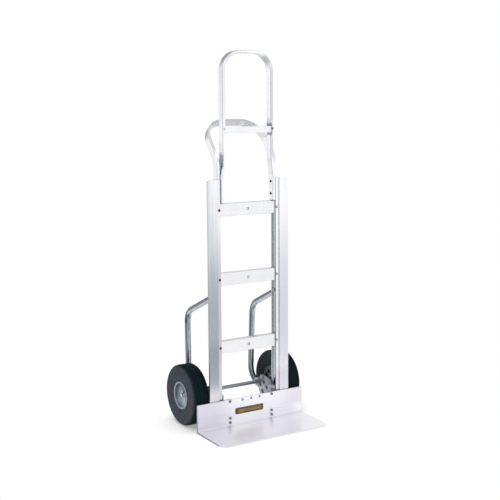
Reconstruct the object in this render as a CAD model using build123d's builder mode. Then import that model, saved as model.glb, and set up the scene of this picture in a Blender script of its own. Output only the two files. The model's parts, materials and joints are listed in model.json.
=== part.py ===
"""Two-wheeled aluminium hand truck with a loop handle, a rear handle and guard tubes.

All sizes are in millimetres. X runs across the truck, Y from the nose to the wheels, Z up.
The origin lies on the floor below the middle of the truck.
"""

import os
from math import cos, radians, sin, tan

from build123d import *

os.makedirs("parts", exist_ok=True)

# Wheels and axle
wheel_diameter = 254.0
wheel_width = 79.0
wheel_setback = 7.0
wheel_guard_gap = 16.0
axle_diameter = 16.0

# Nose
nose_width = 510.0
nose_reach = 212.0
nose_leg_height = 118.0
nose_leg_thickness = 7.0
nose_toe_root = 7.5
nose_toe_tip = 4.5
nose_tip_land = 1.5
nose_tip_bevel = 5.0
nose_heel_inner_radius = 6.0
nose_heel_outer_radius = 5.0
nose_edge_radius = 0.8
nose_corner_radius = 38.0
nose_hole_diameter = 8.0
nose_hole_spacing = 42.0
nose_hole_drop = 8.0

# Name plate
name_plate_width = 137.0
name_plate_height = 27.0
name_plate_thickness = 1.2
name_plate_radius = 6.0
name_plate_x = -9.0
name_plate_z = 64.0
name_plate_bevel = 0.4

# Side rails
frame_width = 384.0
rail_face_width = 44.0
rail_strip_width = 16.5
rail_strip_setback = 5.0
rail_step_wall = 4.0
rail_wing_thickness = 4.5
rail_flange_thickness = 4.0
rail_web_inset = 9.5
rail_web_thickness = 4.5
rail_rear_flange_width = 9.5
rail_depth = 46.0
rail_lip_depth = 8.0
rail_lip_thickness = 3.5
rail_bottom_z = 10.0
rail_top_z = 1023.0
rail_corner_radius = 12.0
rail_edge_radius = 0.8

# Cross braces
brace_height = 52.0
brace_depth = 25.0
brace_thickness = 3.0
brace_bend_radius = 2.0
brace_low_z = 337.5
brace_top_drop = 121.5
brace_end_gap = 1.0
brace_hole_diameter = 7.0

# Handle tube section
handle_tube_width = 12.5
handle_tube_wall = 2.5
handle_tube_radius = 2.5

# Loop handle
loop_top_z = 1533.0
loop_joggle = 9.65
loop_joggle_rise = 10.0
loop_joggle_length = 74.0
loop_bend_radius = 78.0
leg_end_gap = 2.5

# Rear handle
rear_bend_rise = 75.0
rear_lean_deg = 38.0
rear_lean_length = 190.0
rear_bend_radius = 94.0

# Handle brace
handle_brace_rise = 100.5
handle_brace_height = 25.0
handle_brace_thickness = 2.5
handle_brace_depth = 22.0
handle_screw_rise = 15.5

# Guard tubes
guard_tube_diameter = 25.0
guard_tube_wall = 2.5
guard_tube_flat = 1.5
guard_upper_back = 240.0
guard_lower_back = 248.0
guard_end = 16.0
guard_upper_z = 451.0
guard_lower_z = 130.0
guard_upper_rise_deg = 24.6
guard_lower_drop_deg = 24.3
guard_bend_radius = 66.0
guard_splay = 6.0

# Axle brackets
bracket_rail_gap = 0.5
bracket_web_thickness = 8.0
bracket_flange_width = 43.0
bracket_flange_thickness = 6.0
bracket_bottom_z = 12.0
bracket_top_z = 138.0
bracket_boss_radius = 18.0
bracket_boss_inner = 8.0
bracket_boss_outer = 9.0
bracket_lug_setback = 101.0
bracket_lug_z = 155.0
bracket_lug_radius = 10.0
bracket_lug_height = 4.0
bracket_hole_setback = 63.5
bracket_hole_z = 117.0
bracket_hole_diameter = 18.0
bracket_eye_ahead = 24.0
bracket_eye_drop = 11.0
bracket_eye_diameter = 11.0
bracket_pocket_setback = 85.0
bracket_pocket_z = 136.0
bracket_pocket_diameter = 18.0
bracket_pocket_depth = 5.0
bracket_pad_bottom_z = 46.0
bracket_foot_setback = 22.0
bracket_knee_setback = 62.0
bracket_knee_z = 34.0
bracket_heel_ahead = 18.0
bracket_heel_drop = 49.0
bracket_arm_setback = 36.0
bracket_arm_z = 156.0
bracket_shoulder_setback = 32.0
bracket_window_ahead = 42.0
bracket_window_drop = 39.0
bracket_window_length = 22.0
bracket_window_width = 15.0
bracket_window_tilt = 42.0

# Wheel hubs
hub_inset = 5.0
hub_barrel_radius = 53.0
hub_barrel_wall = 4.0
hub_lip_height = 6.0
hub_lip_thickness = 3.0
hub_lip_round = 2.0
hub_disc_thickness = 5.0
hub_dish_depth = 22.0
hub_dish_rise = 9.0
hub_boss_radius = 22.0
hub_boss_inset = 16.0
hub_bore_radius = 12.0
hub_window_count = 8
hub_window_diameter = 17.0
hub_window_turn = 18.0

# Bearings, spacers and axle ends
bearing_outer_radius = 17.5
bearing_width = 11.0
spacer_radius = 13.0
washer_radius = 15.0
washer_thickness = 2.5
axle_end = 5.4
axle_chamfer = 1.5
cotter_diameter = 3.0
cotter_gap = 1.7
cotter_tail = 6.0
cotter_eye_radius = 4.5

# Tyres
tyre_shoulder_radius = 18.0
tyre_bulge_drop = 35.0
tyre_bead_step = 4.0
tyre_groove_width = 3.5
tyre_groove_depth = 3.0
tyre_groove_inner = 9.0
tyre_groove_outer = 22.0

# Fasteners
brace_bolt_diameter = 5.0
brace_bolt_head = 11.0
brace_bolt_head_height = 2.8
brace_nut_flats = 8.0
brace_nut_height = 4.0
frame_bolt_diameter = 8.0
frame_bolt_head = 13.0
frame_bolt_head_height = 5.3
frame_nut_flats = 13.0
frame_nut_height = 6.5
handle_bolt_setback = 17.0
handle_bolt_drop = 15.5
handle_bolt_pitch = 50.5
handle_bolt_head = 12.0
handle_bolt_head_height = 4.0
handle_screw_diameter = 5.0
handle_screw_head = 9.0
handle_screw_head_height = 2.6
nose_bolt_diameter = 6.0
nose_bolt_head = 10.0
nose_bolt_head_height = 4.0
nose_nut_flats = 10.0
nose_nut_height = 5.0
nose_bolt_inset = 21.0
nose_bolt_low_z = 21.0
nose_bolt_pitch = 19.0
nose_bolt_drop = 7.0
bracket_bolt_setback = 27.0
bracket_bolt_low_z = 66.0
bracket_bolt_pitch = 50.0
guard_bolt_setback = 27.0
thread_past_nut = 1.5
head_edge = 0.5
hexagon_turn = 30.0

# Fits
running_clearance = 0.05
hole_clearance = 0.2
seat_clearance = 0.1
side_gap = 0.4

# Depths, from the front faces of the rails to the back
axle_z = wheel_diameter / 2
axle_radius = axle_diameter / 2
axle_setback = wheel_setback + wheel_diameter / 2
front_y = (nose_reach - axle_setback - wheel_diameter / 2) / 2
axle_y = front_y + axle_setback
strip_front_y = front_y + rail_strip_setback
strip_back_y = strip_front_y + rail_flange_thickness
rail_back_y = front_y + rail_depth
rear_flange_front_y = rail_back_y - rail_flange_thickness
handle_tube_depth = rear_flange_front_y - strip_back_y - side_gap
loop_y = front_y + handle_tube_depth / 2
rear_y = strip_back_y + side_gap / 2 + handle_tube_depth / 2
handle_bolt_y = front_y + handle_bolt_setback
guard_bolt_y = front_y + guard_bolt_setback
bracket_bolt_y = front_y + bracket_bolt_setback

# Places across the truck, from its middle to the right
rail_outer_x = frame_width / 2
step_x = rail_outer_x - rail_face_width
step_block_x = step_x + rail_step_wall
strip_inner_x = step_x - rail_strip_width
rail_web_inner_x = strip_inner_x + rail_web_inset
rail_web_outer_x = rail_web_inner_x + rail_web_thickness
rail_rear_flange_x = rail_web_outer_x - rail_rear_flange_width
brace_bolt_x = rail_web_inner_x - brace_nut_flats / 2 - hole_clearance
rear_leg_x = rail_web_inner_x - handle_tube_width / 2
loop_leg_x = rear_leg_x - handle_tube_width
loop_leg_inner_x = loop_leg_x - handle_tube_width / 2
loop_upper_x = loop_leg_x - loop_joggle
bracket_web_outer_x = strip_inner_x - bracket_rail_gap
bracket_web_x = bracket_web_outer_x - bracket_web_thickness
bracket_flange_x = bracket_web_outer_x - bracket_flange_width
bracket_boss_start_x = bracket_web_x - bracket_boss_inner
bracket_boss_end_x = bracket_web_outer_x + bracket_boss_outer
nose_bolt_x = bracket_web_x - nose_bolt_inset
guard_x = rail_web_outer_x + guard_tube_diameter / 2 - guard_tube_flat
guard_crown_x = guard_x + guard_tube_diameter / 2
guard_seat_x = guard_crown_x - guard_tube_flat
wheel_centre_x = guard_crown_x + wheel_guard_gap + wheel_width / 2

# Heights above the floor
nose_hole_z = nose_leg_height - nose_hole_drop
nose_bolt_heights = (nose_bolt_low_z, nose_bolt_low_z + nose_bolt_pitch, nose_leg_height - nose_bolt_drop)
bracket_bolt_heights = (bracket_bolt_low_z, bracket_bolt_low_z + bracket_bolt_pitch)
brace_pitch = (rail_top_z - brace_top_drop - brace_low_z) / 2
brace_heights = (brace_low_z, brace_low_z + brace_pitch, brace_low_z + 2 * brace_pitch)
leg_end_z = brace_heights[2] + brace_height / 2 + leg_end_gap
handle_bolt_heights = (rail_top_z - handle_bolt_drop - handle_bolt_pitch, rail_top_z - handle_bolt_drop)
loop_joggle_low_z = rail_top_z + loop_joggle_rise
loop_joggle_high_z = loop_joggle_low_z + loop_joggle_length
rear_bend_z = rail_top_z + rear_bend_rise
handle_brace_bottom_z = loop_joggle_high_z + handle_brace_rise
handle_screw_z = handle_brace_bottom_z + handle_screw_rise
guard_upper_slope = tan(radians(guard_upper_rise_deg))
guard_lower_slope = tan(radians(guard_lower_drop_deg))
guard_upper_end_z = guard_upper_z + (guard_upper_back - guard_end) * guard_upper_slope
guard_lower_end_z = guard_lower_z - (guard_lower_back - guard_end) * guard_lower_slope
guard_bolt_heights = (
    guard_lower_z - (guard_lower_back - guard_bolt_setback) * guard_lower_slope,
    guard_upper_z + (guard_upper_back - guard_bolt_setback) * guard_upper_slope,
)

# Wheel, measured from its middle and from the axle line
hub_half_width = wheel_width / 2 - hub_inset
hub_barrel_inner_radius = hub_barrel_radius - hub_barrel_wall
hub_lip_radius = hub_barrel_radius + hub_lip_height
hub_dish_x = hub_half_width - hub_dish_depth
hub_boss_outer = hub_half_width - hub_boss_inset
hub_window_circle_radius = (hub_boss_radius + hub_barrel_inner_radius) / 2
tyre_bulge_radius = axle_z - tyre_bulge_drop

# Axle ends
washer_x = wheel_centre_x + hub_boss_outer + side_gap
cotter_x = washer_x + washer_thickness + cotter_gap + cotter_diameter / 2
axle_half_length = cotter_x + axle_end

# Bolt holes
brace_hole_radius = brace_bolt_diameter / 2 + hole_clearance
frame_hole_radius = frame_bolt_diameter / 2 + hole_clearance
nose_bolt_hole_radius = nose_bolt_diameter / 2 + hole_clearance


def front_plane(y):
    """Plane facing the front of the truck at a given depth, drawn with X across and Z up."""
    return Plane(origin=(0, y, 0), x_dir=(1, 0, 0), z_dir=(0, -1, 0))


def side_plane(x):
    """Plane facing the right side of the truck, drawn with Y along and Z up."""
    return Plane(origin=(x, 0, 0), x_dir=(0, 1, 0), z_dir=(1, 0, 0))


def facing_front(x, y, z):
    """Seat on a face that looks forward, with the fastener head in front of it."""
    return Plane(origin=(x, y, z), x_dir=(1, 0, 0), z_dir=(0, -1, 0))


def facing_back(x, y, z):
    """Seat on a face that looks backward, with the nut behind it."""
    return Plane(origin=(x, y, z), x_dir=(1, 0, 0), z_dir=(0, 1, 0))


def facing_side(x, y, z, side):
    """Seat on a face that looks along X to the given side."""
    return Plane(origin=(x, y, z), x_dir=(0, 1, 0), z_dir=(side, 0, 0))


# Nose plate
with BuildPart() as nose_plate:
    leg_front_y = front_y - nose_leg_thickness
    tip_y = front_y - nose_reach
    with BuildSketch(side_plane(-nose_width / 2)) as nose_section:
        with BuildLine():
            Polyline(
                (front_y, 0),
                (front_y, nose_leg_height),
                (leg_front_y, nose_leg_height),
                (leg_front_y, nose_toe_root),
                (tip_y + nose_tip_bevel, nose_toe_tip),
                (tip_y, nose_tip_land),
                (tip_y, 0),
                close=True,
            )
        make_face()
        fillet(nose_section.vertices().group_by(Axis.Y)[-1], radius=nose_edge_radius)
        inner_heel = nose_section.vertices().sort_by_distance((leg_front_y, nose_toe_root))[0]
        fillet(inner_heel, radius=nose_heel_inner_radius)
        outer_heel = nose_section.vertices().sort_by_distance((front_y, 0))[0]
        fillet(outer_heel, radius=nose_heel_outer_radius)
    extrude(amount=nose_width)
    corner_x = nose_width / 2 - nose_corner_radius
    corner_y = tip_y + nose_corner_radius
    with BuildSketch():
        with Locations((corner_x, corner_y), (-corner_x, corner_y)):
            Rectangle(2 * nose_corner_radius, 2 * nose_corner_radius)
            Circle(nose_corner_radius, mode=Mode.SUBTRACT)
        with Locations((0, corner_y + nose_corner_radius)):
            Rectangle(nose_width, 2 * nose_corner_radius, mode=Mode.SUBTRACT)
        with Locations((0, corner_y)):
            Rectangle(2 * corner_x, 2 * nose_corner_radius, mode=Mode.SUBTRACT)
    extrude(amount=nose_leg_height, mode=Mode.SUBTRACT)
    with Locations(facing_front(0, leg_front_y, nose_hole_z)):
        with GridLocations(nose_hole_spacing, 0, 3, 1):
            Hole(nose_hole_diameter / 2, depth=nose_leg_thickness)
    for bolt_z in nose_bolt_heights:
        with Locations(
            facing_front(-nose_bolt_x, leg_front_y, bolt_z),
            facing_front(nose_bolt_x, leg_front_y, bolt_z),
        ):
            Hole(nose_bolt_hole_radius, depth=nose_leg_thickness)
nose_plate.part.label = "nose_plate"
export_step(nose_plate.part, "parts/nose_plate.step")

# Blank name plate
with BuildPart() as name_plate:
    with BuildSketch(front_plane(leg_front_y)):
        with Locations((name_plate_x, name_plate_z)):
            RectangleRounded(name_plate_width, name_plate_height, name_plate_radius)
    extrude(amount=name_plate_thickness)
    chamfer(name_plate.faces().sort_by(Axis.Y)[0].edges(), name_plate_bevel)
name_plate.part.label = "name_plate"
export_step(name_plate.part, "parts/name_plate.step")

# Side rails
with BuildPart() as right_side_rail:
    wing_back_y = front_y + rail_wing_thickness
    lip_back_y = front_y + rail_lip_depth
    lip_inner_x = rail_outer_x - rail_lip_thickness
    with BuildSketch(Plane.XY.offset(rail_bottom_z)) as rail_section:
        with BuildLine():
            Polyline(
                (strip_inner_x, strip_front_y),
                (step_x, strip_front_y),
                (step_x, front_y),
                (rail_outer_x, front_y),
                (rail_outer_x, lip_back_y),
                (lip_inner_x, lip_back_y),
                (lip_inner_x, wing_back_y),
                (step_block_x, wing_back_y),
                (step_block_x, strip_back_y),
                (rail_web_outer_x, strip_back_y),
                (rail_web_outer_x, rail_back_y),
                (rail_rear_flange_x, rail_back_y),
                (rail_rear_flange_x, rear_flange_front_y),
                (rail_web_inner_x, rear_flange_front_y),
                (rail_web_inner_x, strip_back_y),
                (strip_inner_x, strip_back_y),
                close=True,
            )
        make_face()
        fillet(rail_section.vertices(), radius=rail_edge_radius)
    extrude(amount=rail_top_z - rail_bottom_z)
    with BuildSketch(front_plane(front_y)):
        with Locations((rail_outer_x - rail_corner_radius / 2, rail_top_z - rail_corner_radius / 2)):
            Rectangle(rail_corner_radius, rail_corner_radius)
        with Locations((rail_outer_x - rail_corner_radius, rail_top_z - rail_corner_radius)):
            Circle(rail_corner_radius, mode=Mode.SUBTRACT)
    extrude(amount=-rail_depth, mode=Mode.SUBTRACT)
    for brace_z in brace_heights:
        with Locations(facing_front(brace_bolt_x, strip_front_y, brace_z)):
            Hole(brace_hole_radius, depth=rail_flange_thickness)
    web_bolts = [(handle_bolt_y, bolt_z) for bolt_z in handle_bolt_heights]
    web_bolts += [(bracket_bolt_y, bolt_z) for bolt_z in bracket_bolt_heights]
    web_bolts += [(guard_bolt_y, bolt_z) for bolt_z in guard_bolt_heights]
    for bolt_y, bolt_z in web_bolts:
        with Locations(facing_side(rail_web_outer_x, bolt_y, bolt_z, 1)):
            Hole(frame_hole_radius, depth=rail_web_thickness)
right_side_rail.part.label = "right_side_rail"
export_step(right_side_rail.part, "parts/right_side_rail.step")

with BuildPart() as left_side_rail:
    mirror(right_side_rail.part, about=Plane.YZ)
left_side_rail.part.label = "left_side_rail"
export_step(left_side_rail.part, "parts/left_side_rail.step")

# Cross braces between the rails
with BuildPart() as lower_cross_brace:
    brace_half = rail_web_inner_x - brace_end_gap
    brace_face_y = strip_back_y + brace_thickness
    with BuildSketch(side_plane(-brace_half)) as brace_section:
        with Locations((strip_back_y + brace_depth / 2, brace_low_z)):
            Rectangle(brace_depth, brace_height)
        with Locations((brace_face_y + brace_depth / 2, brace_low_z)):
            Rectangle(brace_depth, brace_height - 2 * brace_thickness, mode=Mode.SUBTRACT)
        fillet(brace_section.vertices().group_by(Axis.X)[0], radius=brace_bend_radius)
    extrude(amount=2 * brace_half)
    with Locations(
        facing_front(-brace_bolt_x, strip_back_y, brace_low_z),
        facing_front(brace_bolt_x, strip_back_y, brace_low_z),
    ):
        Hole(brace_hole_radius, depth=brace_thickness)
    with Locations(facing_front(0, strip_back_y, brace_low_z)):
        Hole(brace_hole_diameter / 2, depth=brace_thickness)
lower_cross_brace.part.label = "lower_cross_brace"
export_step(lower_cross_brace.part, "parts/lower_cross_brace.step")

with BuildPart() as middle_cross_brace:
    with Locations((0, 0, brace_pitch)):
        add(lower_cross_brace.part)
middle_cross_brace.part.label = "middle_cross_brace"
export_step(middle_cross_brace.part, "parts/middle_cross_brace.step")

with BuildPart() as upper_cross_brace:
    with Locations((0, 0, 2 * brace_pitch)):
        add(lower_cross_brace.part)
upper_cross_brace.part.label = "upper_cross_brace"
export_step(upper_cross_brace.part, "parts/upper_cross_brace.step")

# Loop handle
with BuildPart() as loop_handle:
    loop_top_centre_z = loop_top_z - handle_tube_width / 2
    with BuildLine():
        FilletPolyline(
            (-loop_leg_x, loop_y, leg_end_z),
            (-loop_leg_x, loop_y, loop_joggle_low_z),
            (-loop_upper_x, loop_y, loop_joggle_high_z),
            (-loop_upper_x, loop_y, loop_top_centre_z),
            (loop_upper_x, loop_y, loop_top_centre_z),
            (loop_upper_x, loop_y, loop_joggle_high_z),
            (loop_leg_x, loop_y, loop_joggle_low_z),
            (loop_leg_x, loop_y, leg_end_z),
            radius=loop_bend_radius,
        )
    with BuildSketch(Plane(origin=(-loop_leg_x, loop_y, leg_end_z))):
        RectangleRounded(handle_tube_width, handle_tube_depth, handle_tube_radius)
        Rectangle(
            handle_tube_width - 2 * handle_tube_wall,
            handle_tube_depth - 2 * handle_tube_wall,
            mode=Mode.SUBTRACT,
        )
    sweep()
    for bolt_z in handle_bolt_heights:
        with Locations(
            facing_side(loop_leg_inner_x, handle_bolt_y, bolt_z, -1),
            facing_side(-loop_leg_inner_x, handle_bolt_y, bolt_z, 1),
        ):
            Hole(frame_hole_radius, depth=handle_tube_width)
    with Locations(
        facing_front(-loop_upper_x, front_y, handle_screw_z),
        facing_front(loop_upper_x, front_y, handle_screw_z),
    ):
        Hole(handle_screw_diameter / 2 + hole_clearance, depth=handle_tube_wall)
loop_handle.part.label = "loop_handle"
export_step(loop_handle.part, "parts/loop_handle.step")

# Rear handle
with BuildPart() as rear_handle:
    rear_top_y = rear_y + rear_lean_length * sin(radians(rear_lean_deg))
    rear_top_z = rear_bend_z + rear_lean_length * cos(radians(rear_lean_deg))
    with BuildLine():
        FilletPolyline(
            (-rear_leg_x, rear_y, leg_end_z),
            (-rear_leg_x, rear_y, rear_bend_z),
            (-rear_leg_x, rear_top_y, rear_top_z),
            (rear_leg_x, rear_top_y, rear_top_z),
            (rear_leg_x, rear_y, rear_bend_z),
            (rear_leg_x, rear_y, leg_end_z),
            radius=rear_bend_radius,
        )
    with BuildSketch(Plane(origin=(-rear_leg_x, rear_y, leg_end_z))):
        RectangleRounded(handle_tube_width, handle_tube_depth, handle_tube_radius)
        Rectangle(
            handle_tube_width - 2 * handle_tube_wall,
            handle_tube_depth - 2 * handle_tube_wall,
            mode=Mode.SUBTRACT,
        )
    sweep()
    rear_leg_outer_x = rear_leg_x + handle_tube_width / 2
    for bolt_z in handle_bolt_heights:
        with Locations(
            facing_side(rear_leg_outer_x, handle_bolt_y, bolt_z, 1),
            facing_side(-rear_leg_outer_x, handle_bolt_y, bolt_z, -1),
        ):
            Hole(frame_hole_radius, depth=handle_tube_width)
rear_handle.part.label = "rear_handle"
export_step(rear_handle.part, "parts/rear_handle.step")

# Cross brace between the legs of the loop handle
with BuildPart() as handle_cross_brace:
    handle_brace_z = handle_brace_bottom_z + handle_brace_height / 2
    loop_inner_x = loop_upper_x - handle_tube_width / 2
    loop_outer_x = loop_upper_x + handle_tube_width / 2
    with BuildSketch(front_plane(front_y)):
        with Locations((0, handle_brace_z)):
            RectangleRounded(2 * loop_outer_x, handle_brace_height, handle_brace_thickness)
    extrude(amount=handle_brace_thickness)
    with BuildSketch(front_plane(front_y)):
        with Locations((0, handle_brace_z)):
            Rectangle(2 * (loop_inner_x - side_gap), handle_brace_height)
            Rectangle(
                2 * (loop_inner_x - side_gap),
                handle_brace_height - 2 * handle_brace_thickness,
                mode=Mode.SUBTRACT,
            )
    extrude(amount=-handle_brace_depth)
    with Locations(
        facing_front(-loop_upper_x, front_y - handle_brace_thickness, handle_screw_z),
        facing_front(loop_upper_x, front_y - handle_brace_thickness, handle_screw_z),
    ):
        Hole(handle_screw_diameter / 2 + hole_clearance, depth=handle_brace_thickness)
handle_cross_brace.part.label = "handle_cross_brace"
export_step(handle_cross_brace.part, "parts/handle_cross_brace.step")

# Guard tubes
with BuildPart() as right_guard_tube:
    guard_end_y = front_y + guard_end
    with BuildLine() as guard_path:
        FilletPolyline(
            (guard_x, guard_end_y, guard_upper_end_z),
            (guard_x + guard_splay, front_y + guard_upper_back, guard_upper_z),
            (guard_x, front_y + guard_lower_back, guard_lower_z),
            (guard_x, guard_end_y, guard_lower_end_z),
            radius=guard_bend_radius,
        )
    with BuildSketch(Plane(origin=guard_path.line @ 0, z_dir=guard_path.line % 0)):
        Circle(guard_tube_diameter / 2)
        Circle(guard_tube_diameter / 2 - guard_tube_wall, mode=Mode.SUBTRACT)
    sweep()
    guard_tube_height = guard_upper_end_z + guard_tube_diameter
    with BuildSketch(side_plane(rail_web_outer_x)):
        with Locations((guard_end_y, guard_tube_height / 2)):
            Rectangle(2 * (rail_depth + guard_tube_diameter), guard_tube_height)
    extrude(amount=-guard_tube_diameter, mode=Mode.SUBTRACT)
    for bolt_z in guard_bolt_heights:
        with Locations(facing_side(guard_crown_x + guard_splay, guard_bolt_y, bolt_z, 1)):
            CounterBoreHole(
                frame_hole_radius,
                counter_bore_radius=frame_bolt_head / 2 / cos(radians(hexagon_turn)) + hole_clearance,
                counter_bore_depth=guard_tube_flat + guard_splay,
                depth=guard_tube_diameter + guard_splay,
            )
right_guard_tube.part.label = "right_guard_tube"
export_step(right_guard_tube.part, "parts/right_guard_tube.step")

with BuildPart() as left_guard_tube:
    mirror(right_guard_tube.part, about=Plane.YZ)
left_guard_tube.part.label = "left_guard_tube"
export_step(left_guard_tube.part, "parts/left_guard_tube.step")

# Axle brackets
with BuildPart() as right_axle_bracket:
    lug_y = front_y + bracket_lug_setback
    with BuildSketch(side_plane(bracket_web_x)):
        with BuildLine():
            Polyline(
                (front_y, bracket_bottom_z),
                (front_y + bracket_foot_setback, bracket_bottom_z),
                (front_y + bracket_knee_setback, bracket_knee_z),
                (axle_y - bracket_heel_ahead, axle_z - bracket_heel_drop),
                (axle_y + bracket_boss_radius, axle_z),
                (lug_y, bracket_lug_z + bracket_lug_radius),
                (front_y + bracket_arm_setback, bracket_arm_z),
                (front_y + bracket_shoulder_setback, bracket_top_z),
                (strip_back_y + side_gap, bracket_top_z),
                (strip_back_y + side_gap, nose_leg_height),
                (front_y, nose_leg_height),
                close=True,
            )
        make_face()
        with Locations((axle_y, axle_z)):
            Circle(bracket_boss_radius)
        with Locations((lug_y, bracket_lug_z)):
            Circle(bracket_lug_radius)
        with Locations((axle_y - bracket_window_ahead, axle_z - bracket_window_drop)):
            SlotCenterToCenter(
                bracket_window_length,
                bracket_window_width,
                rotation=bracket_window_tilt,
                mode=Mode.SUBTRACT,
            )
        with Locations((front_y + bracket_hole_setback, bracket_hole_z)):
            Circle(bracket_hole_diameter / 2, mode=Mode.SUBTRACT)
        with Locations((axle_y - bracket_eye_ahead, axle_z - bracket_eye_drop)):
            Circle(bracket_eye_diameter / 2, mode=Mode.SUBTRACT)
    extrude(amount=bracket_web_thickness)
    with BuildSketch(side_plane(bracket_web_x)):
        with Locations((front_y + bracket_pocket_setback, bracket_pocket_z)):
            Circle(bracket_pocket_diameter / 2)
    extrude(amount=bracket_pocket_depth, mode=Mode.SUBTRACT)
    with BuildSketch(side_plane(bracket_boss_start_x)):
        with Locations((axle_y, axle_z)):
            Circle(bracket_boss_radius)
    extrude(amount=bracket_boss_end_x - bracket_boss_start_x)
    with BuildSketch(side_plane(bracket_web_x)):
        with Locations((lug_y, bracket_lug_z)):
            Circle(bracket_lug_radius)
    extrude(amount=-bracket_lug_height)
    flange_width = bracket_web_outer_x - bracket_flange_x
    flange_height = nose_leg_height - bracket_bottom_z
    with BuildSketch(front_plane(front_y)):
        with Locations((bracket_flange_x + flange_width / 2, bracket_bottom_z + flange_height / 2)):
            Rectangle(flange_width, flange_height)
    extrude(amount=-bracket_flange_thickness)
    pad_gap = rail_edge_radius + seat_clearance
    pad_depth = rear_flange_front_y - strip_back_y - 2 * pad_gap
    pad_height = bracket_top_z - bracket_pad_bottom_z
    with BuildSketch(side_plane(bracket_web_outer_x)):
        with Locations((strip_back_y + pad_gap + pad_depth / 2, bracket_pad_bottom_z + pad_height / 2)):
            Rectangle(pad_depth, pad_height)
    extrude(amount=rail_web_inner_x - bracket_web_outer_x)
    with Locations(facing_side(bracket_boss_end_x, axle_y, axle_z, 1)):
        Hole(axle_radius + seat_clearance, depth=bracket_boss_end_x - bracket_boss_start_x)
    for bolt_z in nose_bolt_heights:
        with Locations(facing_front(nose_bolt_x, front_y, bolt_z)):
            Hole(nose_bolt_hole_radius, depth=bracket_flange_thickness)
    for bolt_z in bracket_bolt_heights:
        with Locations(facing_side(rail_web_inner_x, bracket_bolt_y, bolt_z, 1)):
            Hole(frame_hole_radius, depth=rail_web_inner_x - bracket_web_x)
right_axle_bracket.part.label = "right_axle_bracket"
export_step(right_axle_bracket.part, "parts/right_axle_bracket.step")

with BuildPart() as left_axle_bracket:
    mirror(right_axle_bracket.part, about=Plane.YZ)
left_axle_bracket.part.label = "left_axle_bracket"
export_step(left_axle_bracket.part, "parts/left_axle_bracket.step")

# Axle rod
with BuildPart() as axle:
    with BuildSketch(side_plane(-axle_half_length)):
        with Locations((axle_y, axle_z)):
            Circle(axle_radius)
    extrude(amount=2 * axle_half_length)
    chamfer(axle.edges().filter_by(GeomType.CIRCLE), axle_chamfer)
    with Locations((-cotter_x, axle_y, axle_z + axle_radius), (cotter_x, axle_y, axle_z + axle_radius)):
        Hole(cotter_diameter / 2 + hole_clearance, depth=axle_diameter)
axle.part.label = "axle"
export_step(axle.part, "parts/axle.step")

# Wheel hubs
with BuildPart() as right_wheel_hub:
    bearing_seat = hub_half_width - bearing_width
    inner_disc = hub_half_width - hub_disc_thickness
    lip_inner = hub_half_width - hub_lip_thickness
    boss_seat = hub_boss_outer - bearing_width
    hub_plane = Plane(origin=(wheel_centre_x, axle_y, axle_z), x_dir=(1, 0, 0), z_dir=(0, -1, 0))
    with BuildSketch(hub_plane) as hub_section:
        with BuildLine():
            Polyline(
                (-hub_half_width, bearing_outer_radius),
                (-hub_half_width, hub_lip_radius),
                (-lip_inner, hub_lip_radius),
                (-lip_inner, hub_barrel_radius),
                (lip_inner, hub_barrel_radius),
                (lip_inner, hub_lip_radius),
                (hub_half_width, hub_lip_radius),
                (hub_half_width, hub_barrel_inner_radius),
                (hub_dish_x + hub_dish_rise, hub_barrel_inner_radius),
                (hub_dish_x, hub_boss_radius),
                (hub_boss_outer, hub_boss_radius),
                (hub_boss_outer, bearing_outer_radius),
                (boss_seat, bearing_outer_radius),
                (boss_seat, hub_bore_radius),
                (-bearing_seat, hub_bore_radius),
                (-bearing_seat, bearing_outer_radius),
                close=True,
            )
        make_face()
        cavity_width = hub_dish_x - hub_disc_thickness + inner_disc
        cavity_height = hub_barrel_inner_radius - hub_boss_radius
        with Locations((-inner_disc + cavity_width / 2, hub_boss_radius + cavity_height / 2)):
            Rectangle(cavity_width, cavity_height, mode=Mode.SUBTRACT)
    revolve(axis=Axis((wheel_centre_x, axle_y, axle_z), (1, 0, 0)))
    with Locations(facing_side(wheel_centre_x - hub_half_width, axle_y, axle_z, -1)):
        with PolarLocations(hub_window_circle_radius, hub_window_count, start_angle=-hub_window_turn):
            Hole(hub_window_diameter / 2, depth=hub_disc_thickness + cavity_width / 2)
    lip_edges = right_wheel_hub.edges().filter_by(GeomType.CIRCLE).group_by(Axis.X)[-1]
    fillet(lip_edges, radius=hub_lip_round)
right_wheel_hub.part.label = "right_wheel_hub"
export_step(right_wheel_hub.part, "parts/right_wheel_hub.step")

with BuildPart() as left_wheel_hub:
    mirror(right_wheel_hub.part, about=Plane.YZ)
left_wheel_hub.part.label = "left_wheel_hub"
export_step(left_wheel_hub.part, "parts/left_wheel_hub.step")

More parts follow.
